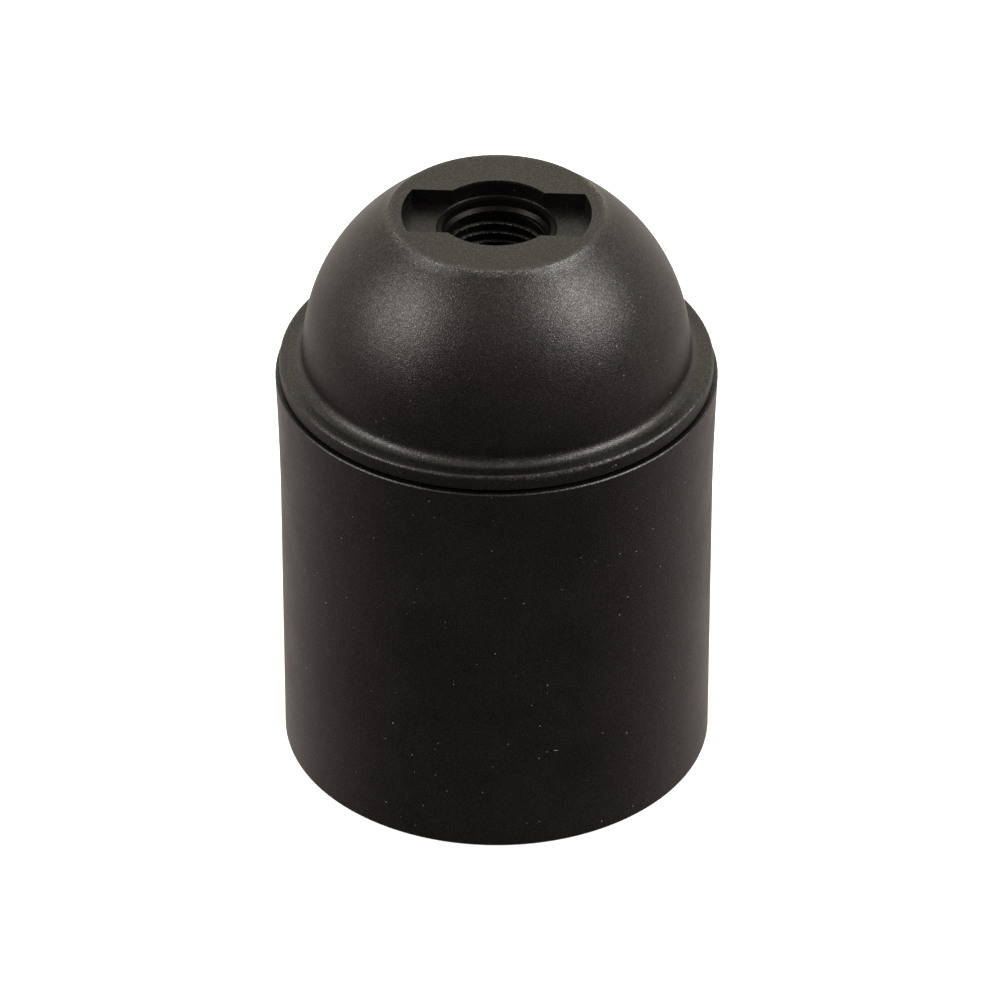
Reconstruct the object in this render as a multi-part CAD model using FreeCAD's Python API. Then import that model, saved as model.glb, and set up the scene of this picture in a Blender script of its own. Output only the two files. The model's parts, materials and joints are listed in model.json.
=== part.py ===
import FreeCAD, Part
import math
import os

Vector = FreeCAD.Vector
UP = Vector(0, 0, 1)
ORIGIN = Vector(0, 0, 0)

# Lamp holder for a 27 mm screw lamp cap, standing on its open mouth.
# Origin: centre of the mouth rim's plane. +Z runs up the axis to the cable entry. Sizes in mm.
# +X points at the phase terminal, -X at the neutral one.

# Lamp socket: sleeve with the knuckle thread of a 27 mm lamp cap
lamp_root_radius = 13.3
lamp_thread_depth = 1.1
lamp_thread_pitch = 3.629
lamp_thread_start = 17.0  # degrees round from +X where its first turn begins
lamp_groove_width = 2.6
sleeve_wall = 1.95
sleeve_length = 27.1
sleeve_lead_in = 0.9
relief_length = 11.1
relief_clearance = 0.05
sleeve_rib_count = 6
sleeve_rib_thickness = 1.2
sleeve_rib_drop = 4.0

# Joint between the shell's neck and the dome cap
neck_height = 4.8
neck_edge = 0.4
joint_thread_depth = 0.75
joint_thread_clearance = 0.1
seam_gap = 0.2

# Outer shell: skirt, lip and mouth
shell_height = 39.8
skirt_wall = 1.75
skirt_draft = 0.15
flare_height = 12.0
flare_bow = 0.2
lip_overhang = 0.3
lip_edge = 0.1
rim_edge = 0.15
shoulder_thickness = 1.8
shoulder_round = 0.6

# Dome cap: outside, from the joint's bore outwards
dome_wall = 1.75
dome_centre_height = 2.08
foot_round = 1.0
flange_width = 2.1
flange_height = 1.65
flange_round = 0.3
flange_edge = 0.1
flange_inset = 0.4
disc_radius = 9.9
disc_slope = 0.7
disc_rise = 0.63

# Dome cap: cable entry and slot
entry_radius = 5.0
entry_recess_step = 0.5
entry_boss_wall = 2.0
entry_chamfer = 0.5
slot_length = 17.3
slot_width = 7.15
slot_depth = 1.6

# Dome cap: inside
crown_thickness = 4.4
wire_space = 2.6
clamp_rib_count = 4
clamp_rib_thickness = 1.6
key_rib_thickness = 2.0
rib_reach = 2.2
key_depth = 2.0
key_clearance = 0.2

# Terminal block
rim_thickness = 2.4
rim_clearance = 0.35
boss_depth = 3.0
boss_clearance = 0.4
barrier_thickness = 1.6
barrier_length = 18.0
barrier_clearance = 0.9
pocket_depth = 1.6
pocket_end_wall = 1.5
pocket_side_clearance = 0.4

# Terminals
screw_radius = 1.75
screw_length = 3.8
screw_head_radius = 2.7
screw_head_height = 1.8
screw_slot_width = 0.8
screw_slot_depth = 0.9
screw_tip = 0.3
screw_fit = 0.05
screw_end_clearance = 0.5
plate_thickness = 0.8
plate_width = 7.6
plate_end_clearance = 0.2
clamp_thickness = 1.0
clamp_length = 4.8
clamp_end_clearance = 0.8
clamp_fit = 0.1
clamp_corner = 0.6
wire_groove_radius = 0.7
wire_groove_inset = 0.95

# Rivets and contact leaves
rivet_radius = 1.0
rivet_head_radius = 1.7
rivet_head_height = 0.5
rivet_head_clearance = 0.1
leaf_thickness = 0.4
leaf_width = 4.0
leaf_rivet_clearance = 0.2
leaf_side_clearance = 0.3
leaf_rise = 0.6
leaf_recess_reach = 1.7
centre_leaf_drop = 1.8
centre_touch_length = 1.6
side_leaf_inset = 0.9
side_leaf_drop = 1.3
leaf_tip_length = 0.9
leaf_tip_rise = 0.4

# How far a cut runs past the face it starts from
overrun = 1.0

# Radii that follow, from the lamp's thread outwards
lamp_crest_radius = lamp_root_radius - lamp_thread_depth
relief_radius = lamp_root_radius + relief_clearance
sleeve_radius = lamp_root_radius + sleeve_wall
joint_bore_radius = sleeve_radius + joint_thread_depth + joint_thread_clearance
dome_radius = joint_bore_radius + dome_wall
flange_radius = dome_radius + flange_width
lip_radius = flange_radius + flange_inset
skirt_radius = lip_radius - lip_overhang
rim_radius = sleeve_radius - rim_clearance
boss_radius = relief_radius - boss_clearance
entry_recess_radius = entry_radius + entry_recess_step
entry_boss_radius = entry_radius + entry_boss_wall

# Heights that follow, from the mouth rim upwards
shoulder_bottom = shell_height - shoulder_thickness
neck_top = shell_height + neck_height
sleeve_start = neck_top - sleeve_length
thread_end = neck_top - relief_length
flange_bottom = shell_height + seam_gap
flange_top = shell_height + flange_height
dome_centre = shell_height + dome_centre_height
dome_foot = flange_top + foot_round
disc_foot = dome_centre + math.sqrt(dome_radius ** 2 - (disc_radius + disc_slope) ** 2)
disc_top = disc_foot + disc_rise
ceiling = disc_top - crown_thickness
slot_floor = disc_top - slot_depth
boss_bottom = neck_top - boss_depth
rim_top = neck_top + rim_thickness
entry_boss_bottom = rim_top + wire_space
barrier_top = entry_boss_bottom - barrier_clearance
pocket_floor = rim_top - pocket_depth
plate_top = pocket_floor + plate_thickness
clamp_top = plate_top + clamp_thickness
head_top = clamp_top + screw_head_height
screw_tip_height = clamp_top - screw_length
leaf_bottom = boss_bottom - leaf_thickness

# Places that follow, from the block's rim inwards along X
pocket_outer_end = rim_radius - pocket_end_wall
terminal_radius = pocket_outer_end - clamp_end_clearance - clamp_length / 2
rivet_offset = terminal_radius - clamp_length / 2 - rivet_head_clearance - rivet_head_radius
plate_inner_end = rivet_offset - rivet_head_radius
plate_outer_end = pocket_outer_end - plate_end_clearance
pocket_half_width = plate_width / 2 + pocket_side_clearance
leaf_foot_inner = rivet_offset - rivet_head_radius
leaf_foot_outer = rivet_offset + rivet_head_radius
side_leaf_reach = lamp_crest_radius - side_leaf_inset


def at(radius, height):
    return Vector(radius, 0, height)


def on_dome(height, ball_radius):
    # Where a ball about the dome's centre has that height.
    return at(math.sqrt(ball_radius ** 2 - (height - dome_centre) ** 2), height)


def turned(edges):
    face = Part.Face(Part.Wire(edges))
    return face.revolve(ORIGIN, UP, 360)


def straight_edges(points):
    edges = []
    for first, last in zip(points, points[1:]):
        edges.append(Part.makeLine(first, last))
    return edges


def turned_outline(points):
    return turned(straight_edges(points + points[:1]))


def quarter_round(first, corner, last):
    # The round that replaces a square corner between two points at one distance from it.
    centre = first + last - corner
    middle = centre + (corner - centre).normalize() * (first - centre).Length
    return Part.Arc(first, middle, last).toShape()


def cylinder(radius, bottom, top, x=0.0):
    return Part.makeCylinder(radius, top - bottom, Vector(x, 0, bottom), UP)


def block(x_low, x_high, half_width, bottom, top):
    corner = Vector(x_low, -half_width, bottom)
    return Part.makeBox(x_high - x_low, 2 * half_width, top - bottom, corner)


def spun(shape, angle):
    copy = shape.copy()
    copy.rotate(ORIGIN, UP, angle)
    return copy


def knuckle_groove():
    # The round groove, wound turn by turn from below the sleeve's end up into the relief.
    inside = lamp_crest_radius - lamp_thread_depth / 2
    start = sleeve_start - lamp_groove_width
    profile = []
    for angle in (-90, -45, 0, 45, 90, -90):
        turn = math.radians(angle)
        radius = inside + (lamp_root_radius - inside) * math.cos(turn)
        profile.append(at(radius, start + lamp_groove_width / 2 * math.sin(turn)))
    path = Part.makeHelix(lamp_thread_pitch, lamp_thread_pitch, lamp_root_radius)
    path.translate(Vector(0, 0, start))
    one_turn = Part.Wire(path.Edges).makePipeShell([Part.makePolygon(profile)], True, True)
    one_turn.rotate(Vector(0, 0, 0), Vector(0, 0, 1), lamp_thread_start)
    turns = []
    for index in range(math.ceil((thread_end + lamp_groove_width - start) / lamp_thread_pitch)):
        turns.append(one_turn.translated(Vector(0, 0, index * lamp_thread_pitch)))
    return turns


def shell_outside():
    # Half section of the shell without its thread; the skirt flares out to the lip.
    flare_start = shell_height - flare_height
    flare_middle = at(lip_radius - lip_overhang / 2 - flare_bow / 4, shell_height - flare_height / 2)
    inner_mouth = skirt_radius - skirt_wall
    inner_top = inner_mouth - skirt_draft
    ring = [
        at(lip_radius, shell_height - lip_edge),
        at(lip_radius - lip_edge, shell_height),
        at(sleeve_radius, shell_height),
        at(sleeve_radius, neck_top - neck_edge),
        at(sleeve_radius - neck_edge, neck_top),
        at(relief_radius, neck_top),
        at(relief_radius, thread_end + lamp_thread_depth),
        at(lamp_crest_radius, thread_end),
        at(lamp_crest_radius, sleeve_start + sleeve_lead_in),
        at(lamp_crest_radius + sleeve_lead_in, sleeve_start),
        at(sleeve_radius, sleeve_start),
        at(sleeve_radius, shoulder_bottom - shoulder_round),
        at(sleeve_radius + shoulder_round, shoulder_bottom),
        at(inner_top - shoulder_round, shoulder_bottom),
        at(inner_top, shoulder_bottom - shoulder_round),
        at(inner_mouth, rim_edge),
        at(inner_mouth + rim_edge, 0),
        at(skirt_radius - rim_edge, 0),
        at(skirt_radius, rim_edge),
        at(skirt_radius, flare_start),
    ]
    edges = straight_edges(ring)
    edges.append(Part.Arc(ring[-1], flare_middle, ring[0]).toShape())
    return turned(edges)


def sleeve_rib():
    # A short web that ties the sleeve to the skirt under the shoulder.
    inner = (sleeve_radius + lamp_root_radius) / 2
    outer = skirt_radius - skirt_wall / 2
    bottom = shoulder_bottom - sleeve_rib_drop
    top = shell_height - shoulder_thickness / 2
    return block(inner, outer, sleeve_rib_thickness / 2, bottom, top)


def outer_shell():
    shell = shell_outside()
    webs = []
    for index in range(sleeve_rib_count):
        webs.append(spun(sleeve_rib(), index * 360 / sleeve_rib_count))
    shell = shell.fuse(webs)
    return shell.cut(knuckle_groove())


def dome_outside():
    # Half section of the cap: flange, ledge, round foot, dome and raised disc.
    ring = [
        at(flange_radius, flange_top - flange_round),
        at(flange_radius, flange_bottom + flange_edge),
        at(flange_radius - flange_edge, flange_bottom),
        at(0, flange_bottom),
        at(0, disc_top),
        at(disc_radius, disc_top),
        at(disc_radius + disc_slope, disc_foot),
    ]
    edges = straight_edges(ring)
    middle = on_dome((dome_foot + disc_foot) / 2, dome_radius)
    foot = on_dome(dome_foot, dome_radius)
    ledge_inner = at(foot.x + foot_round, flange_top)
    ledge_outer = at(flange_radius - flange_round, flange_top)
    edges.append(Part.Arc(ring[-1], middle, foot).toShape())
    edges.append(quarter_round(foot, at(foot.x, flange_top), ledge_inner))
    edges.append(Part.makeLine(ledge_inner, ledge_outer))
    edges.append(quarter_round(ledge_outer, at(flange_radius, flange_top), ring[0]))
    return turned(edges)


def dome_cavity():
    bore_top = neck_top + neck_edge
    below = flange_bottom - seam_gap
    high = on_dome(ceiling, joint_bore_radius)
    middle = on_dome((bore_top + ceiling) / 2, joint_bore_radius)
    low = on_dome(bore_top, joint_bore_radius)
    points = [
        high,
        at(0, ceiling),
        at(0, below),
        at(joint_bore_radius, below),
        at(joint_bore_radius, bore_top),
        low,
    ]
    edges = straight_edges(points)
    edges.append(Part.Arc(low, middle, high).toShape())
    return turned(edges)


def dome_rib(thickness, bottom):
    # A rib under the dome; its foot presses on the terminal block's rim.
    foot = rim_radius - rib_reach
    fin = block(foot, dome_radius, thickness / 2, bottom, ceiling + crown_thickness / 4)
    ball = Part.makeSphere(joint_bore_radius + dome_wall / 2, at(0, dome_centre))
    return fin.common(ball)


def cable_slot():
    # A slot across the disc whose ends are round about the entry.
    top = disc_top + slot_depth
    ends = cylinder(slot_length / 2, slot_floor, top)
    return ends.common(block(-slot_length, slot_length, slot_width / 2, slot_floor, top))


def dome_cap():
    cap = dome_outside().cut(dome_cavity())
    additions = [cylinder(entry_boss_radius, entry_boss_bottom, ceiling + crown_thickness / 4)]
    for index in range(clamp_rib_count):
        angle = (index + 0.5) * 360 / clamp_rib_count
        additions.append(spun(dome_rib(clamp_rib_thickness, rim_top), angle))
    for angle in (90, 270):
        additions.append(spun(dome_rib(key_rib_thickness, rim_top - key_depth), angle))
    cap = cap.fuse(additions)
    below = entry_boss_bottom - entry_chamfer
    above = disc_top + slot_depth
    entry = turned_outline([
        at(0, below),
        at(entry_radius + entry_chamfer, below),
        at(entry_radius + entry_chamfer, entry_boss_bottom),
        at(entry_radius, entry_boss_bottom + entry_chamfer),
        at(entry_radius, slot_floor - entry_recess_step),
        at(entry_recess_radius, slot_floor),
        at(entry_recess_radius, above),
        at(0, above),
    ])
    return cap.cut([entry, cable_slot()]).removeSplitter()


def terminal_pocket():
    return block(plate_inner_end - plate_end_clearance, pocket_outer_end, pocket_half_width,
                 pocket_floor, barrier_top)


def leaf_recess(inner, outer):
    # Room above a leaf's foot, so that the leaf can rise when a lamp pushes on it.
    half = leaf_width / 2 + leaf_side_clearance
    return block(inner, outer, half, boss_bottom - overrun, boss_bottom + leaf_rise)


def terminal_block():
    rim = cylinder(rim_radius, neck_top, rim_top)
    boss = cylinder(boss_radius, boss_bottom, neck_top + rim_thickness / 2)
    barrier = block(-barrier_thickness / 2, barrier_thickness / 2, barrier_length / 2,
                    rim_top - rim_thickness / 2, barrier_top)
    body = rim.fuse([boss, barrier])
    cuts = []
    for angle in (0, 180):
        cuts.append(spun(terminal_pocket(), angle))
        hole_floor = screw_tip_height - screw_end_clearance
        cuts.append(spun(cylinder(screw_radius + clamp_fit, hole_floor, rim_top, terminal_radius), angle))
        cuts.append(spun(cylinder(rivet_radius, boss_bottom - overrun, rim_top, rivet_offset), angle))
    key_half = key_rib_thickness / 2 + key_clearance
    foot = rim_radius - rib_reach - key_clearance
    notch_floor = rim_top - key_depth - key_clearance
    notch = block(foot, rim_radius + overrun, key_half, notch_floor, rim_top + overrun)
    cuts.append(spun(notch, 90))
    cuts.append(spun(notch, 270))
    cuts.append(leaf_recess(leaf_foot_inner - leaf_recess_reach, leaf_foot_outer + leaf_side_clearance))
    cuts.append(leaf_recess(-boss_radius - overrun, -leaf_foot_inner + leaf_side_clearance))
    return body.cut(cuts)


def terminal_plate():
    plate = block(plate_inner_end, plate_outer_end, plate_width / 2, pocket_floor, plate_top)
    thread = cylinder(screw_radius + screw_fit, pocket_floor - overrun, plate_top + overrun, terminal_radius)
    shank = cylinder(rivet_radius, pocket_floor - overrun, plate_top + overrun, rivet_offset)
    return plate.cut([thread, shank])


def clamp_plate():
    # A saddle washer: two half-round grooves underneath hold the wires.
    half = clamp_length / 2
    low = terminal_radius - half
    high = terminal_radius + half
    saddle = block(low, high, plate_width / 2, plate_top, clamp_top)
    upright = [edge for edge in saddle.Edges if abs(edge.tangentAt(edge.FirstParameter).z) > 0.9]
    saddle = saddle.makeChamfer(clamp_corner, upright)
    hole = cylinder(screw_radius + clamp_fit, plate_top - overrun, clamp_top + overrun, terminal_radius)
    cuts = [hole]
    for side in (-1, 1):
        start = Vector(low, side * (plate_width / 2 - wire_groove_inset), plate_top)
        cuts.append(Part.makeCylinder(wire_groove_radius, clamp_length, start, Vector(1, 0, 0)))
    return saddle.cut(cuts)


def terminal_screw():
    screw = turned_outline([
        at(0, screw_tip_height),
        at(screw_radius - screw_tip, screw_tip_height),
        at(screw_radius, screw_tip_height + screw_tip),
        at(screw_radius, clamp_top),
        at(screw_head_radius, clamp_top),
        at(screw_head_radius, head_top - screw_tip),
        at(screw_head_radius - screw_tip, head_top),
        at(0, head_top),
    ])
    slot = block(-screw_head_radius - overrun, screw_head_radius + overrun, screw_slot_width / 2,
                 head_top - screw_slot_depth, head_top + overrun)
    screw = screw.cut(slot)
    screw.translate(Vector(terminal_radius, 0, 0))
    return screw


def contact_rivet():
    rivet = turned_outline([
        at(0, leaf_bottom - rivet_head_height),
        at(rivet_radius, leaf_bottom - rivet_head_height),
        at(rivet_head_radius, leaf_bottom - rivet_head_height / 2),
        at(rivet_head_radius, leaf_bottom),
        at(rivet_radius, leaf_bottom),
        at(rivet_radius, plate_top),
        at(rivet_head_radius, plate_top),
        at(rivet_head_radius, plate_top + rivet_head_height / 2),
        at(rivet_radius, plate_top + rivet_head_height),
        at(0, plate_top + rivet_head_height),
    ])
    rivet.translate(Vector(rivet_offset, 0, 0))
    return rivet


def bent_strip(path, width, thickness):
    # Sheet of even thickness, bent along a path of (x, z) points for its upper face.
    lower = []
    for index, point in enumerate(path):
        before = path[max(index - 1, 0)]
        after = path[min(index + 1, len(path) - 1)]
        first = Vector(point[0] - before[0], 0, point[1] - before[1])
        second = Vector(after[0] - point[0], 0, after[1] - point[1])
        if index == 0:
            first = second
        if index == len(path) - 1:
            second = first
        first.normalize()
        second.normalize()
        middle = (first + second).normalize()
        lean = thickness / middle.dot(first)
        side = Vector(middle.z, 0, -middle.x)
        if side.z > 0:
            side = side * -1
        lower.append(Vector(point[0], 0, point[1]) + side * lean)
    upper = [Vector(x, 0, z) for x, z in path]
    outline = upper + lower[::-1] + upper[:1]
    face = Part.Face(Part.makePolygon(outline))
    face.translate(Vector(0, -width / 2, 0))
    return face.extrude(Vector(0, width, 0))


def rivet_hole():
    # Play round the rivet, so that the leaf can tilt on it.
    hole_radius = rivet_radius + leaf_rivet_clearance
    return cylinder(hole_radius, leaf_bottom - overrun, boss_bottom + overrun, rivet_offset)


def centre_contact():
    touch = centre_touch_length / 2
    path = [
        (leaf_foot_outer, boss_bottom),
        (leaf_foot_inner, boss_bottom),
        (touch, boss_bottom - centre_leaf_drop),
        (-touch, boss_bottom - centre_leaf_drop),
        (-touch - leaf_tip_length, boss_bottom - centre_leaf_drop + leaf_tip_rise),
    ]
    leaf = bent_strip(path, leaf_width, leaf_thickness)
    return leaf.cut(rivet_hole())


def side_contact():
    path = [
        (-leaf_foot_inner, boss_bottom),
        (-leaf_foot_outer, boss_bottom),
        (-side_leaf_reach, boss_bottom - side_leaf_drop),
        (-side_leaf_reach - leaf_tip_length, boss_bottom - side_leaf_drop + leaf_tip_rise),
    ]
    leaf = bent_strip(path, leaf_width, leaf_thickness)
    return leaf.cut(spun(rivet_hole(), 180))


def both_sides(shape):
    return Part.makeCompound([shape, spun(shape, 180)])


pieces = {
    "dome_cap": dome_cap(),
    "outer_shell": outer_shell(),
    "terminal_block": terminal_block(),
    "phase_plate": terminal_plate(),
    "neutral_plate": spun(terminal_plate(), 180),
    "phase_clamp": clamp_plate(),
    "neutral_clamp": spun(clamp_plate(), 180),
    "phase_screw": terminal_screw(),
    "neutral_screw": spun(terminal_screw(), 180),
    "contact_rivets": both_sides(contact_rivet()),
    "centre_contact": centre_contact(),
    "side_contact": side_contact(),
}

os.makedirs("parts", exist_ok=True)
for name, shape in pieces.items():
    shape.exportStep("parts/" + name + ".step")
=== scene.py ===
import json
import math

import bmesh
import bpy
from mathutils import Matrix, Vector


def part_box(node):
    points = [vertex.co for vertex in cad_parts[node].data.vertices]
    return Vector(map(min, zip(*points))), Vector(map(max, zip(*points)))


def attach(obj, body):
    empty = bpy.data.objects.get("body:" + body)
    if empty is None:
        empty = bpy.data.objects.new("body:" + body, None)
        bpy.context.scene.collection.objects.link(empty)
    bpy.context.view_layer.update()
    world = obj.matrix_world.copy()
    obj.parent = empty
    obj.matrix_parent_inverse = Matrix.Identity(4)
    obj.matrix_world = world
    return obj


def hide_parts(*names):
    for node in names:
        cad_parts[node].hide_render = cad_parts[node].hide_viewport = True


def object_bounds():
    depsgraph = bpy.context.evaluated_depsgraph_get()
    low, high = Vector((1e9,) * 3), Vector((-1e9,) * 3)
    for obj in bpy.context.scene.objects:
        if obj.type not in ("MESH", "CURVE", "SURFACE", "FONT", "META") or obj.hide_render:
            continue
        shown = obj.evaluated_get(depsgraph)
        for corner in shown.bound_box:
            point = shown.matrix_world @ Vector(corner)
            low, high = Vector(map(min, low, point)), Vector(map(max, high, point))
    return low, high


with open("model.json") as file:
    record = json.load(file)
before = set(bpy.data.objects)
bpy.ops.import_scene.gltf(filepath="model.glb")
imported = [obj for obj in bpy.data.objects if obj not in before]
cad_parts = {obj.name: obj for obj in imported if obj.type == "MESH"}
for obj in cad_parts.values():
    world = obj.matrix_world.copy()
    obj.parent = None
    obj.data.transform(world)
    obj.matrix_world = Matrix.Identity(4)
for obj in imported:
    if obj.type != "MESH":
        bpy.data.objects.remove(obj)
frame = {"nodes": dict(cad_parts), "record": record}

cad_low, cad_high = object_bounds()
nodes = frame["nodes"]
MM = 0.001

# ---------------------------------------------------------------- driving sizes, in millimetres

ENTRY_RADIUS = 5.0            # wall of the cable entry, the thread's major radius
ENTRY_ROOT = 4.68             # the moulded thread's blunt roots and crests
ENTRY_CREST = 4.48
ENTRY_PITCH = 1.0
ENTRY_RIDGE = 0.34            # the ridge's width at its root, and across its crest
ENTRY_FLAT = 0.06
ENTRY_TOP = 54.77             # where the entry's wall ends below its recess
ENTRY_LOW = 50.1
LEAD_LEDGE = 55.18            # ledge under the slot's floor, from which the entry's wall drops
LEAD_OUTER = 5.39
LEAD_WALL = 4.97
LEAD_FOOT = 54.45             # where that wall ends in the thread's lead-in cone
LEAD_CONE_END = 54.1

NECK_RADIUS = 15.25           # outside of the shell's neck
JOINT_BORE_RADIUS = 16.1      # inside of the cap's rim, round the neck
JOINT_DEPTH = 0.75
JOINT_PITCH = 2.0
JOINT_RIDGE = 1.0
JOINT_FLAT = 0.4

THREAD_END = 0.3              # between the end of a thread and the nearest edge
ENTRY_THREAD_LOW = ENTRY_LOW + THREAD_END
ENTRY_THREAD_HIGH = LEAD_CONE_END - 0.1
ENTRY_LINING_LOW = ENTRY_LOW + 0.05
SINK = 0.02                   # how far a ridge or a lining reaches into the wall that carries it

SCREW_RADIUS = 1.75
SCREW_ROOT = 1.47
SCREW_PITCH = 0.6
SCREW_RIDGE = 0.5
SCREW_FLAT = 0.08
SCREW_TIP = 0.3               # chamfer at the tip, and the plain shank under the head
SCREW_START = 0.1             # from the tip to where the thread begins
SCREW_HEAD_RADIUS = 2.7
SCREW_HEAD_HEIGHT = 1.8
SCREW_HEAD_ROUND = 0.75
SCREW_HEAD_CHAMFER = 0.1
SCREW_SLOT_WIDTH = 0.8
SCREW_SLOT_DEPTH = 0.9

# ---------------------------------------------------------------- light and camera

TENT_LEVEL = 0.485            # the light tent's brightness to the sides
TENT_BACK = 0.40              # what it gains towards the back, and loses towards the front
TENT_UP = 0.34                # what it gains towards the top, and loses towards the floor
TENT_LEAST = 0.12
TENT_DIM_TINT = (1.0, 0.80, 0.86)
TENT_BRIGHT_TINT = (1.0, 0.94, 0.77)

BOX_DISTANCE = 0.75           # of each soft box from the object's middle, in metres
SOFT_BOXES = {                # azimuth and elevation (degrees), width and height (metres), watts, tint
    "left_softbox": (-71, 34, 0.40, 0.42, 3.5, (1.0, 0.96, 0.9)),
    "right_softbox": (79, 42, 0.38, 0.44, 5.2, (1.0, 0.97, 0.93)),
}

CAMERA_AZIMUTH = 3.1          # degrees
CAMERA_ELEVATION = 33.72
CAMERA_DISTANCE = 0.675       # metres from the seam's middle
CAMERA_LENS = 264.28          # millimetres, with the sensor below
CAMERA_SENSOR = 36.0
CAMERA_LOW = 0.017785         # how far below and right of the seam it aims, as shares of the distance
CAMERA_RIGHT = 0.00046
SEAM_HEIGHT = 39.8            # millimetres

FLOOR_HALF = 3.0              # half its width, and how far it lies under the mouth, in metres
FLOOR_DROP = 0.00005
FLOOR_SHADE = 0.7
FLOOR_ROUGH = 0.9
FLOOR_GLOW = 0.8

# ---------------------------------------------------------------- metals

# scales are in patches or lines a metre; a range is the part of a noise's values that counts
TARNISH_SCALE = 500.0
TARNISH_RANGE = (0.45, 0.75)
TARNISH_MOST = 0.55
TARNISH_DULLING = 0.16        # what full tarnish adds to the roughness
SPOTS = (1300.0, 0.22, 0.12)  # cells a metre, a spot's size in its cell, share of the cells
DRAWN_SCALE = 2600.0
DRAWN_RANGE = (0.3, 0.7)
DRAWN_SWING = (-0.07, 0.09)   # of the roughness about the metal's own
METAL_RELIEF = 0.00002        # depth in metres of the drawn lines and of the unevenness
METAL_RELIEF_STRENGTH = 0.3

# ---------------------------------------------------------------- grain, dust, rubbed edges, painted highlights and painted shade

CLOUD_SCALE = 140.0           # patches a metre in which the tone and the gloss wander
CLOUD_TONE_RANGE = (0.35, 0.68)
CLOUD_GLOSS_RANGE = (0.3, 0.7)
GLOSS_SWING = (-0.04, 0.05)   # of the roughness about the plastic's own
GRAIN_RANGE = (0.40, 0.68)
GRAIN_SHARE = 0.65            # of the fine grain in the shade; the cloudy tone has the rest
GRAIN_DULLING = 0.06          # what the palest grain adds to the roughness
FACETS = 1.3                  # glittering facets to a grain
GLINT_FROM = 0.55             # random value of a facet above which it glitters
DUST_AND_HIGHLIGHT_FROM = 0.45              # and above which it holds dust, also painted highlight, on a rubbed edge or a thread's crest
WAVE_SCALE = 70.0             # waves a metre in the surface, and their depth in metres
WAVE_DEPTH = 0.0004
WAVE_STRENGTH = 0.5
PLASTIC_IOR = 1.5
PAINTED_SHADE_GLINT = 0.22             # share of the glint left inside the recess, where the reflection is dimmed as painted shade
PAINTED_SHADE_FADE = 0.1             # millimetres over which the painted shade in the recess sets in

SPECK_CORE = 0.5              # share of a speck's size within which it is whole
SPECK_LEAST = 0.3             # strength of the faintest speck

# cells a metre, a speck's size as a share of its cell, share of the cells that have one,
# and for strokes the stretch along x, y and z with its lean and turn
MARKS = (
    (1400.0, 0.10, 0.12, None),
    (320.0, 0.030, 0.22, None),
    (1000.0, 0.048, 0.30, (1.0, 1.0, 0.13, 0.9, 0.3)),
    (1000.0, 0.044, 0.26, (0.12, 1.0, 1.0, 0.5, 0.7)),
    (1000.0, 0.044, 0.22, (1.0, 0.14, 1.0, 0.2, 1.9)),
)

# radius, height and reach of a rubbed ring in millimetres, and its strength; the ring's lighter dust is
# also painted highlight
DISC_EDGE = (9.9, 56.8, 0.6, 0.62)
FLANGE_EDGE = (19.8, 41.3, 0.4, 0.25)
DOME_FOOT = (18.15, 41.75, 0.6, 0.15)
RECESS_EDGE = (5.5, 56.85, 0.3, 0.2)
PAINTED_SHADE_RADIUS = 5.56          # within it the casing's reflection is dimmed: painted shade in the recess

CREST_DUST_AND_HIGHLIGHT = 0.42             # how much lighter the entry thread's crests are, with dust and painted highlight
CREST_DEPTHS = (0.02, 0.08)   # how far behind them the dust and painted highlight begin to fade and end

# ---------------------------------------------------------------- node helpers


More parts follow.
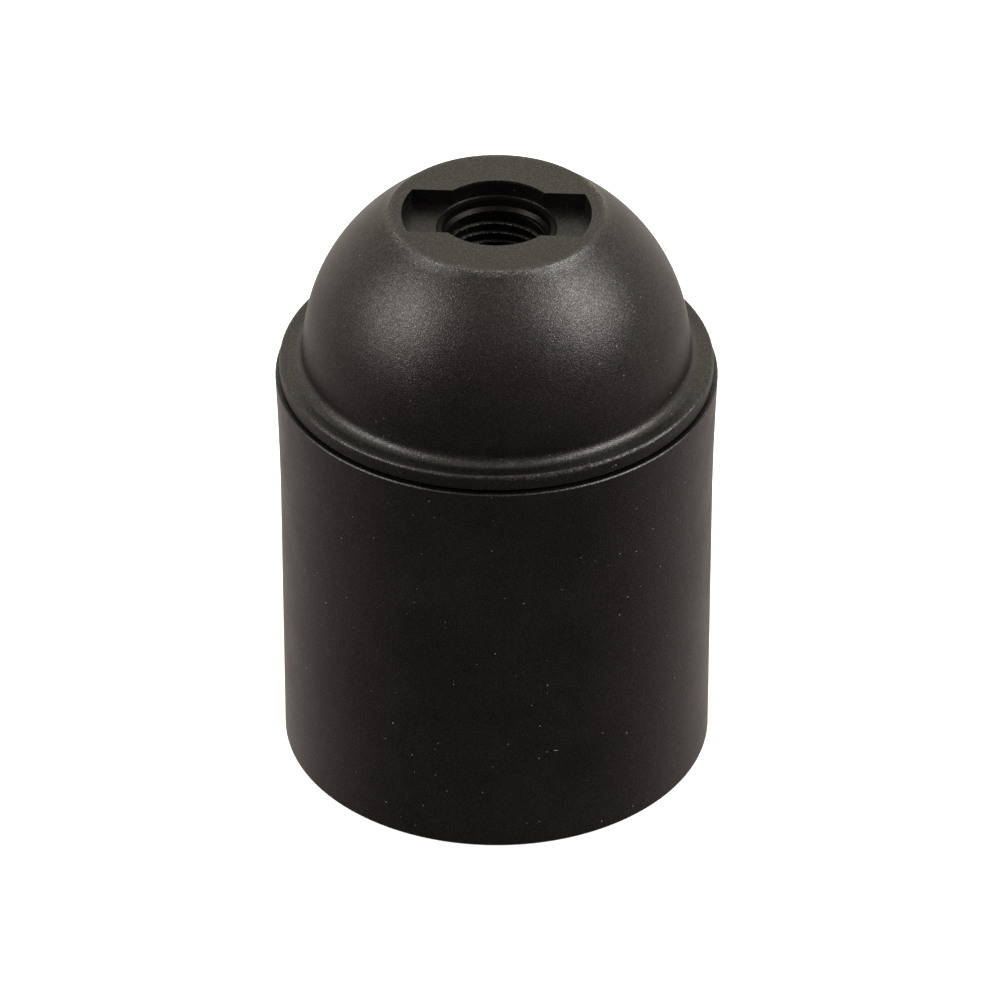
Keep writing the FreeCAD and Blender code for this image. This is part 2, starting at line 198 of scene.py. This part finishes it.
class Graph:
    """A material's node tree, with short calls for what the surfaces share."""

    def __init__(self, name):
        self.material = bpy.data.materials.new(name)
        self.material.use_nodes = True
        self.tree = self.material.node_tree
        self.tree.nodes.clear()
        self.out = self.add("ShaderNodeOutputMaterial")
        self.shader = self.add("ShaderNodeBsdfPrincipled")
        self.link(self.shader, "BSDF", self.out, "Surface")
        self.place = self.add("ShaderNodeTexCoord")

    def add(self, kind, **settings):
        """A new node of a kind, with its settings."""
        node = self.tree.nodes.new(kind)
        for key, value in settings.items():
            setattr(node, key, value)
        return node

    def link(self, source, output, target, entry):
        self.tree.links.new(source.outputs[output], target.inputs[entry])

    def scaled(self, x, y, z, lean=0.0, turn=0.0):
        """Object coordinates stretched by a factor per axis, after leaning and turning them."""
        mapping = self.add("ShaderNodeMapping", vector_type="TEXTURE")
        mapping.inputs["Scale"].default_value = (1 / x, 1 / y, 1 / z)
        mapping.inputs["Rotation"].default_value = (lean, 0.0, turn)
        self.link(self.place, "Object", mapping, "Vector")
        return mapping

    def lay(self, texture, coordinates):
        """Gives a texture the stretched coordinates, or the object's own if they are None."""
        if coordinates is None:
            self.link(self.place, "Object", texture, "Vector")
        else:
            self.link(coordinates, "Vector", texture, "Vector")

    def noise(self, per_metre, detail=2.0, roughness=0.5, coordinates=None):
        texture = self.add("ShaderNodeTexNoise")
        texture.inputs["Scale"].default_value = per_metre
        texture.inputs["Detail"].default_value = detail
        texture.inputs["Roughness"].default_value = roughness
        self.lay(texture, coordinates)
        return texture

    def cells(self, per_metre, coordinates=None):
        """Cells about scattered points, and the node that splits the random colour of each."""
        texture = self.add("ShaderNodeTexVoronoi", feature="F1")
        texture.inputs["Scale"].default_value = per_metre
        self.lay(texture, coordinates)
        pick = self.add("ShaderNodeSeparateColor")
        self.link(texture, "Color", pick, "Color")
        return texture, pick

    def ramp(self, source, output, low, high, from_value=0.0, to_value=1.0, smooth=True):
        """The source's value from low to high taken to from_value to to_value, and held outside."""
        node = self.add("ShaderNodeMapRange")
        node.interpolation_type = "SMOOTHSTEP" if smooth else "LINEAR"
        node.inputs["From Min"].default_value = low
        node.inputs["From Max"].default_value = high
        node.inputs["To Min"].default_value = from_value
        node.inputs["To Max"].default_value = to_value
        self.link(source, output, node, "Value")
        return node

    def maths(self, operation, *values):
        """The operation on values that are (node, output) pairs or numbers."""
        node = self.add("ShaderNodeMath", operation=operation)
        for index, value in enumerate(values):
            if isinstance(value, tuple):
                self.tree.links.new(value[0].outputs[value[1]], node.inputs[index])
            else:
                node.inputs[index].default_value = value
        return node

    def length(self, a, b):
        """The length of a step whose two parts, at right angles, are (node, output) pairs."""
        square = self.maths("MULTIPLY", a, a)
        total = self.maths("MULTIPLY_ADD", b, b, (square, "Value"))
        return self.maths("SQRT", (total, "Value"))

    def mix(self, factor, first, second):
        """Colours mixed by a (node, output) factor; first and second are colours or pairs."""
        node = self.add("ShaderNodeMix", data_type="RGBA")
        self.tree.links.new(factor[0].outputs[factor[1]], node.inputs["Factor"])
        for slot, value in ((6, first), (7, second)):
            if isinstance(value[0], bpy.types.Node):
                self.tree.links.new(value[0].outputs[value[1]], node.inputs[slot])
            else:
                node.inputs[slot].default_value = (*value, 1.0)
        return node

    def specks(self, per_metre, size, share, coordinates=None):
        """Small specks: one in some of the cells, size as a share of the cell.

        A sharp step says which cells have one, and a ramp over their random value how strong it is.
        """
        cells, pick = self.cells(per_metre, coordinates)
        near = self.ramp(cells, "Distance", size * SPECK_CORE, size, 1.0, 0.0)
        chosen = self.ramp(pick, "Red", 1.0 - share, 1.0, SPECK_LEAST, 1.0)
        there = self.ramp(pick, "Red", 1.0 - share, 1.0 - share * 0.99)
        strength = self.maths("MULTIPLY", (there, "Result"), (chosen, "Result"))
        return self.maths("MULTIPLY", (near, "Result"), (strength, "Value"))

    def from_axis(self):
        """The node that gives the distance from the upright axis, and the one that splits x, y and z."""
        apart = self.add("ShaderNodeSeparateXYZ")
        self.link(self.place, "Object", apart, "Vector")
        return self.length((apart, "X"), (apart, "Y")), apart

    def near_ring(self, out, apart, radius, height, reach):
        """1 on a ring about the upright axis (mm), falling to 0 at the reach from it."""
        across = self.maths("SUBTRACT", (out, "Value"), radius * MM)
        up = self.maths("SUBTRACT", (apart, "Z"), height * MM)
        away = self.length((across, "Value"), (up, "Value"))
        return self.ramp(away, "Value", 0.0, reach * MM, 1.0, 0.0)

    def bump(self, source, output, strength, distance, before=None):
        """A bump from the source, on top of the one before."""
        node = self.add("ShaderNodeBump")
        node.inputs["Strength"].default_value = strength
        node.inputs["Distance"].default_value = distance
        self.link(source, output, node, "Height")
        if before is not None:
            self.link(before, "Normal", node, "Normal")
        return node


def moulded_plastic(name, dark, light, dust_and_highlight, grain, relief, rough, shine, glitter,
                    rubbed_and_highlight_rings=(), painted_shade_within=0.0):
    """Thermoplastic from a spark-eroded mould: glittering grain, uneven gloss, dust and lint.

    rubbed_and_highlight_rings are (radius, height, reach, strength) rings of rubbed, dusty edge about the
    upright axis, lighter also as painted highlight. Nearer to it than painted_shade_within (mm) the
    plastic's reflection is dimmed as painted shade in the recess, and its thread's crests are lighter with
    dust and painted highlight.
    """
    g = Graph(name)
    cloud = g.noise(CLOUD_SCALE, detail=4.0, roughness=0.6)
    fine = g.noise(grain, detail=1.0, roughness=0.6)
    tone = g.ramp(cloud, "Fac", *CLOUD_TONE_RANGE)
    mottle = g.ramp(fine, "Fac", *GRAIN_RANGE)
    part = g.maths("MULTIPLY", (tone, "Result"), 1.0 - GRAIN_SHARE)
    shade = g.maths("MULTIPLY_ADD", (mottle, "Result"), GRAIN_SHARE, (part, "Value"))
    base = g.mix((shade, "Value"), dark, light)
    pick = g.cells(grain * FACETS)[1]
    marks_and_highlights = None
    for per_metre, size, share, stretch in MARKS:
        specks = g.specks(per_metre, size, share, g.scaled(*stretch) if stretch else None)
        marks_and_highlights = specks if marks_and_highlights is None else g.maths("MAXIMUM", (marks_and_highlights, "Value"), (specks, "Value"))
    spotty = g.ramp(pick, "Blue", DUST_AND_HIGHLIGHT_FROM, 1.0)
    out, apart = g.from_axis()
    # rubbed, dusty rings, lighter also as painted highlight along the edges that catch the light
    for radius, height, reach, strength in rubbed_and_highlight_rings:
        ring = g.near_ring(out, apart, radius, height, reach)
        patchy = g.maths("MULTIPLY", (ring, "Result"), (tone, "Result"))
        rubbed_and_highlight = g.maths("MULTIPLY", (patchy, "Value"), (spotty, "Result"))
        faded = g.maths("MULTIPLY", (rubbed_and_highlight, "Value"), strength)
        marks_and_highlights = g.maths("MAXIMUM", (marks_and_highlights, "Value"), (faded, "Value"))
    # dust on the thread's crests, lighter also as painted highlight along them
    if painted_shade_within:
        full, none = ((ENTRY_CREST + depth) * MM for depth in CREST_DEPTHS)
        crest = g.ramp(out, "Value", full, none, CREST_DUST_AND_HIGHLIGHT, 0.0)
        crest_dust_and_highlight = g.maths("MULTIPLY", (crest, "Result"), (spotty, "Result"))
        marks_and_highlights = g.maths("MAXIMUM", (marks_and_highlights, "Value"), (crest_dust_and_highlight, "Value"))
    colour = g.mix((marks_and_highlights, "Value"), (base, 2), dust_and_highlight)
    g.link(colour, 2, g.shader, "Base Color")
    gloss = g.ramp(cloud, "Fac", *CLOUD_GLOSS_RANGE, *(rough + swing for swing in GLOSS_SWING))
    dulled = g.maths("MULTIPLY_ADD", (mottle, "Result"), GRAIN_DULLING, (gloss, "Result"))
    g.link(dulled, "Value", g.shader, "Roughness")
    glint = g.ramp(pick, "Green", GLINT_FROM, 1.0, shine, shine + glitter, smooth=False)
    # painted shade: inside the recess the reflection is dimmed
    if painted_shade_within:
        painted_shade = g.ramp(out, "Value", (painted_shade_within - PAINTED_SHADE_FADE) * MM, painted_shade_within * MM, PAINTED_SHADE_GLINT, 1.0)
        glint = g.maths("MULTIPLY", (glint, "Result"), (painted_shade, "Result"))
    g.link(glint, 0, g.shader, "Specular IOR Level")
    broad = g.noise(WAVE_SCALE, detail=1.0)
    wave = g.bump(broad, "Fac", strength=WAVE_STRENGTH, distance=WAVE_DEPTH)
    pits = g.bump(fine, "Fac", strength=1.0, distance=relief, before=wave)
    g.link(pits, "Normal", g.shader, "Normal")
    g.shader.inputs["IOR"].default_value = PLASTIC_IOR
    return g.material


def metal(name, colour, stain, rough, brush):
    """Stamped or turned metal with fine drawn lines, light tarnish and a few dull spots."""
    g = Graph(name)
    cloud = g.noise(TARNISH_SCALE, detail=3.0, roughness=0.6)
    lines = g.noise(DRAWN_SCALE, detail=2.0, roughness=0.6, coordinates=g.scaled(*brush))
    spots = g.specks(*SPOTS)
    tarnish = g.ramp(cloud, "Fac", *TARNISH_RANGE, 0.0, TARNISH_MOST)
    dull = g.maths("MAXIMUM", (tarnish, "Result"), (spots, "Value"))
    tint = g.mix((dull, "Value"), colour, stain)
    g.link(tint, 2, g.shader, "Base Color")
    drawn = g.ramp(lines, "Fac", *DRAWN_RANGE, *(rough + swing for swing in DRAWN_SWING))
    worn = g.maths("MULTIPLY_ADD", (dull, "Value"), TARNISH_DULLING, (drawn, "Result"))
    g.link(worn, "Value", g.shader, "Roughness")
    grooves = g.bump(lines, "Fac", METAL_RELIEF_STRENGTH, METAL_RELIEF)
    uneven = g.bump(cloud, "Fac", METAL_RELIEF_STRENGTH, METAL_RELIEF, before=grooves)
    g.link(uneven, "Normal", g.shader, "Normal")
    g.shader.inputs["Metallic"].default_value = 1.0
    return g.material


# the casing's rubbed rings and crest dust are partly painted highlight, and inside the recess its
# reflection is dimmed as painted shade
CASING = moulded_plastic(
    "casing_moulded", dark=(0.0012, 0.0010, 0.0010), light=(0.0042, 0.0036, 0.0033),
    dust_and_highlight=(0.30, 0.28, 0.26), grain=8500.0, relief=0.00003, rough=0.315, shine=0.39, glitter=0.47,
    rubbed_and_highlight_rings=(DISC_EDGE, FLANGE_EDGE, DOME_FOOT, RECESS_EDGE), painted_shade_within=PAINTED_SHADE_RADIUS,
)
INSERT = moulded_plastic(
    "insert_moulded", dark=(0.009, 0.0085, 0.0085), light=(0.022, 0.021, 0.020),
    dust_and_highlight=(0.16, 0.15, 0.14), grain=5200.0, relief=0.00003, rough=0.46, shine=0.30, glitter=0.20,
)
BRASS = metal(
    "brass_stamped", colour=(0.78, 0.56, 0.25), stain=(0.42, 0.27, 0.11), rough=0.30, brush=(1.0, 9.0, 1.0),
)
STEEL = metal(
    "steel_plated", colour=(0.66, 0.65, 0.62), stain=(0.36, 0.34, 0.31), rough=0.28, brush=(1.0, 1.0, 7.0),
)

SLOT_MATERIALS = {
    "casing_plastic": CASING,
    "insert_plastic": INSERT,
    "brass": BRASS,
    "plated_steel": STEEL,
}
for part in frame["record"]["subparts"]:
    mesh = nodes[part["node"]].data
    mesh.materials.clear()
    mesh.materials.append(SLOT_MATERIALS[part["material_slot"]])

# ---------------------------------------------------------------- turned and threaded pieces

SHARP_ANGLE = 32              # degrees between two faces from which their edge stays sharp
HELIX_STEPS = 96              # rings in a turn of thread
TURNED_STEPS = 64             # corners round a turned piece
HELIX_STUB = 0.04             # share of a ridge's depth left at its very end


def new_object(name, mesh_data):
    """An object from bmesh data, which it frees, with its doubled points joined and its faces outward."""
    mesh = bpy.data.meshes.new(name)
    bmesh.ops.remove_doubles(mesh_data, verts=mesh_data.verts, dist=1e-7)
    bmesh.ops.recalc_face_normals(mesh_data, faces=mesh_data.faces)
    mesh_data.to_mesh(mesh)
    mesh_data.free()
    piece = bpy.data.objects.new(name, mesh)
    bpy.context.scene.collection.objects.link(piece)
    return piece


def new_piece(name, mesh_data, material, body):
    """A piece from bmesh data, shaded smooth but for its sharp edges, riding on a body."""
    piece = new_object(name, mesh_data)
    mesh = piece.data
    mesh.materials.append(material)
    mesh.shade_smooth()
    mesh.set_sharp_from_angle(angle=math.radians(SHARP_ANGLE))
    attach(piece, body)
    return piece


def add_helix(mesh_data, base, tip, pitch, low, high, base_width, tip_width, centre=(0.0, 0.0), phase=0.0):
    """A right-hand helical ridge from the base radius to the tip radius, run out at both ends (mm)."""
    turns = (high - low - base_width) / pitch
    count = int(round(turns * HELIX_STEPS))
    fade = HELIX_STEPS // 3
    rings = []
    for index in range(count + 1):
        share = min(1.0, index / fade, (count - index) / fade)
        reach = base + (tip - base) * (HELIX_STUB + (1 - HELIX_STUB) * share)
        angle = 2 * math.pi * index / HELIX_STEPS + phase
        height = low + base_width / 2 + pitch * index / HELIX_STEPS
        outline = (
            (base, -base_width / 2), (reach, -tip_width / 2),
            (reach, tip_width / 2), (base, base_width / 2),
        )
        rings.append([
            mesh_data.verts.new((
                (centre[0] + radius * math.cos(angle)) * MM,
                (centre[1] + radius * math.sin(angle)) * MM,
                (height + rise) * MM,
            ))
            for radius, rise in outline
        ])
    for first, second in zip(rings, rings[1:]):
        for corner in range(4):
            following = (corner + 1) % 4
            mesh_data.faces.new((first[corner], first[following], second[following], second[corner]))
    mesh_data.faces.new(rings[0])
    mesh_data.faces.new(reversed(rings[-1]))


def add_turned(mesh_data, outline, centre=(0.0, 0.0), steps=TURNED_STEPS):
    """A closed outline of (radius, height) points turned about a vertical axis; radius 0 closes it (mm)."""
    rings = []
    for radius, height in outline:
        if radius < 1e-9:
            rings.append([mesh_data.verts.new((centre[0] * MM, centre[1] * MM, height * MM))])
            continue
        rings.append([
            mesh_data.verts.new((
                (centre[0] + radius * math.cos(2 * math.pi * k / steps)) * MM,
                (centre[1] + radius * math.sin(2 * math.pi * k / steps)) * MM,
                height * MM,
            ))
            for k in range(steps)
        ])
    for first, second in zip(rings, rings[1:]):
        for k in range(steps):
            following = (k + 1) % steps
            corners = []
            for ring, at in ((first, k), (first, following), (second, following), (second, k)):
                vertex = ring[at] if len(ring) > 1 else ring[0]
                if vertex not in corners:
                    corners.append(vertex)
            if len(corners) > 2:
                mesh_data.faces.new(corners)


entry_thread = bmesh.new()
add_helix(entry_thread, ENTRY_ROOT + SINK / 2, ENTRY_CREST, ENTRY_PITCH,
          ENTRY_THREAD_LOW, ENTRY_THREAD_HIGH, ENTRY_RIDGE, ENTRY_FLAT)
add_turned(entry_thread, [
    (LEAD_OUTER, LEAD_LEDGE), (LEAD_WALL, LEAD_LEDGE), (LEAD_WALL, LEAD_FOOT),
    (ENTRY_ROOT, LEAD_CONE_END), (ENTRY_ROOT, ENTRY_THREAD_LOW),
    (ENTRY_RADIUS + SINK, ENTRY_LINING_LOW), (ENTRY_RADIUS + SINK, ENTRY_TOP + SINK),
    (LEAD_OUTER, LEAD_LEDGE),
], steps=HELIX_STEPS)
new_piece("entry_thread", entry_thread, CASING, "cap")

neck_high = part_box("outer_shell")[1].z / MM
joint_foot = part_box("dome_cap")[0].z / MM
neck_thread = bmesh.new()
add_helix(neck_thread, NECK_RADIUS - SINK, NECK_RADIUS + JOINT_DEPTH, JOINT_PITCH,
          joint_foot + THREAD_END, neck_high - THREAD_END, JOINT_RIDGE, JOINT_FLAT)
new_piece("neck_thread", neck_thread, CASING, "shell")

cap_thread = bmesh.new()
add_helix(cap_thread, JOINT_BORE_RADIUS + SINK, JOINT_BORE_RADIUS - JOINT_DEPTH, JOINT_PITCH,
          joint_foot + THREAD_END, neck_high + THREAD_END, JOINT_RIDGE, JOINT_FLAT, phase=math.pi)
new_piece("cap_thread", cap_thread, CASING, "cap")

# ---------------------------------------------------------------- terminal screws


def slotted(mesh_data, middle):
    """The solid in the bmesh data, with a screwdriver slot cut along x at the middle of its top (mm)."""
    past_head = 2 * SCREW_HEAD_RADIUS + 1
    slot_size = Vector((past_head, SCREW_SLOT_WIDTH, 2 * SCREW_SLOT_DEPTH)) * MM
    tool_data = bmesh.new()
    bmesh.ops.create_cube(tool_data, size=1.0)
    bmesh.ops.scale(tool_data, vec=slot_size, verts=tool_data.verts)
    bmesh.ops.translate(tool_data, vec=middle * MM, verts=tool_data.verts)
    blank = new_object("screw_blank", mesh_data)
    tool = new_object("slot_tool", tool_data)
    cut = blank.modifiers.new("slot", "BOOLEAN")
    cut.operation = "DIFFERENCE"
    cut.solver = "EXACT"
    cut.object = tool
    depsgraph = bpy.context.evaluated_depsgraph_get()
    finished = bpy.data.meshes.new_from_object(blank.evaluated_get(depsgraph))
    for item in (blank, tool):
        bpy.data.objects.remove(item)
    result = bmesh.new()
    result.from_mesh(finished)
    bpy.data.meshes.remove(finished)
    return result


def terminal_screw(name, node, body):
    """A slotted pan-head screw with its thread, in place of the plain one."""
    low, high = (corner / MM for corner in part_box(node))
    centre = ((low.x + high.x) / 2, (low.y + high.y) / 2)
    under = high.z - SCREW_HEAD_HEIGHT
    outline = [
        (0.0, low.z), (SCREW_ROOT - SCREW_TIP, low.z), (SCREW_ROOT, low.z + SCREW_TIP),
        (SCREW_ROOT, under - SCREW_TIP), (SCREW_RADIUS, under - SCREW_TIP / 2), (SCREW_RADIUS, under),
        (SCREW_HEAD_RADIUS - SCREW_HEAD_CHAMFER, under), (SCREW_HEAD_RADIUS, under + SCREW_HEAD_CHAMFER),
    ]
    arc_steps = 6
    for step in range(arc_steps + 1):
        angle = math.pi / 2 * step / arc_steps
        outline.append((
            SCREW_HEAD_RADIUS - SCREW_HEAD_ROUND * (1 - math.cos(angle)),
            high.z - SCREW_HEAD_ROUND * (1 - math.sin(angle)),
        ))
    outline.append((0.0, high.z))
    turned = bmesh.new()
    add_turned(turned, outline, centre)
    screw = slotted(turned, Vector((*centre, high.z)))
    add_helix(screw, SCREW_ROOT - SINK, SCREW_RADIUS, SCREW_PITCH,
              low.z + SCREW_START, under - SCREW_TIP, SCREW_RIDGE, SCREW_FLAT, centre)
    piece = new_piece(name, screw, STEEL, body)
    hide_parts(node)


terminal_screw("phase_screw_threaded", "phase_screw", "phase_fastener")
terminal_screw("neutral_screw_threaded", "neutral_screw", "neutral_fastener")

# ---------------------------------------------------------------- floor, light and camera


def stage_floor():
    """A plain white floor, evenly bright, that glossy surfaces don't mirror."""
    floor_mesh = bpy.data.meshes.new("floor")
    corners = [(x * FLOOR_HALF, y * FLOOR_HALF, 0) for x, y in ((-1, -1), (1, -1), (1, 1), (-1, 1))]
    floor_mesh.from_pydata(corners, [], [(0, 1, 2, 3)])
    floor = bpy.data.objects.new("floor", floor_mesh)
    bpy.context.scene.collection.objects.link(floor)
    floor.location.z = cad_low.z - FLOOR_DROP
    g = Graph("floor_pale")
    g.shader.inputs["Base Color"].default_value = (FLOOR_SHADE, FLOOR_SHADE, FLOOR_SHADE, 1.0)
    g.shader.inputs["Roughness"].default_value = FLOOR_ROUGH
    g.shader.inputs["Specular IOR Level"].default_value = 0.0
    g.shader.inputs["Emission Color"].default_value = (1.0, 1.0, 1.0, 1.0)
    g.shader.inputs["Emission Strength"].default_value = FLOOR_GLOW
    floor_mesh.materials.append(g.material)
    floor.visible_glossy = False


def soft_box(name, azimuth, elevation, width, height, power, tint):
    """An area light aimed at the middle of the object; azimuth 0 is in front, 90 to the right."""
    middle = (cad_low + cad_high) / 2
    turn, rise = math.radians(azimuth), math.radians(elevation)
    away = Vector((math.sin(turn) * math.cos(rise), -math.cos(turn) * math.cos(rise), math.sin(rise)))
    data = bpy.data.lights.new(name, "AREA")
    data.shape = "RECTANGLE"
    data.size, data.size_y = width, height
    data.energy = power
    data.color = tint
    lamp = bpy.data.objects.new(name, data)
    bpy.context.scene.collection.objects.link(lamp)
    lamp.location = middle + away * BOX_DISTANCE
    lamp.rotation_mode = "QUATERNION"
    lamp.rotation_quaternion = (-away).to_track_quat("-Z", "Y")


def studio():
    """A light tent, bright behind and overhead and dim towards the front, with a soft box on each side."""
    world = bpy.data.worlds.new("studio")
    bpy.context.scene.world = world
    world.use_nodes = True
    tree = world.node_tree
    glow = tree.nodes["Background"]
    place = tree.nodes.new("ShaderNodeTexCoord")
    slope = tree.nodes.new("ShaderNodeVectorMath")
    slope.operation = "DOT_PRODUCT"
    slope.inputs[1].default_value = (0.0, TENT_BACK, TENT_UP)
    tree.links.new(place.outputs["Generated"], slope.inputs[0])
    level = tree.nodes.new("ShaderNodeMath")
    level.operation = "ADD"
    level.inputs[1].default_value = TENT_LEVEL
    tree.links.new(slope.outputs["Value"], level.inputs[0])
    held = tree.nodes.new("ShaderNodeMath")
    held.operation = "MAXIMUM"
    held.inputs[1].default_value = TENT_LEAST
    tree.links.new(level.outputs["Value"], held.inputs[0])
    tint = tree.nodes.new("ShaderNodeMix")
    tint.data_type = "RGBA"
    tint.inputs[6].default_value = (*TENT_DIM_TINT, 1.0)
    tint.inputs[7].default_value = (*TENT_BRIGHT_TINT, 1.0)
    tree.links.new(held.outputs["Value"], tint.inputs["Factor"])
    tree.links.new(tint.outputs[2], glow.inputs["Color"])
    tree.links.new(held.outputs["Value"], glow.inputs["Strength"])
    for name, settings in SOFT_BOXES.items():
        soft_box(name, *settings)


def camera():
    """At the photograph's viewing angle, looking down at the seam from in front with a long lens."""
    azimuth, elevation = math.radians(CAMERA_AZIMUTH), math.radians(CAMERA_ELEVATION)
    level, rise = math.cos(elevation), math.sin(elevation)
    seam = Vector((0.0, 0.0, SEAM_HEIGHT * MM))
    back = Vector((math.sin(azimuth) * level, -math.cos(azimuth) * level, rise))
    right = Vector((math.cos(azimuth), math.sin(azimuth), 0.0))
    up = right.cross(-back)
    data = bpy.data.cameras.new("camera")
    data.sensor_width = CAMERA_SENSOR
    data.lens = CAMERA_LENS
    data.clip_start, data.clip_end = 0.05, 20.0
    eye = bpy.data.objects.new("camera", data)
    bpy.context.scene.collection.objects.link(eye)
    eye.location = seam + back * CAMERA_DISTANCE
    low, aside = CAMERA_LOW * CAMERA_DISTANCE, CAMERA_RIGHT * CAMERA_DISTANCE
    aim = -back * CAMERA_DISTANCE - up * low + right * aside
    eye.rotation_mode = "QUATERNION"
    eye.rotation_quaternion = aim.to_track_quat("-Z", "Y")
    bpy.context.scene.camera = eye


stage_floor()
studio()
camera()
bpy.context.scene.view_settings.view_transform = "Standard"
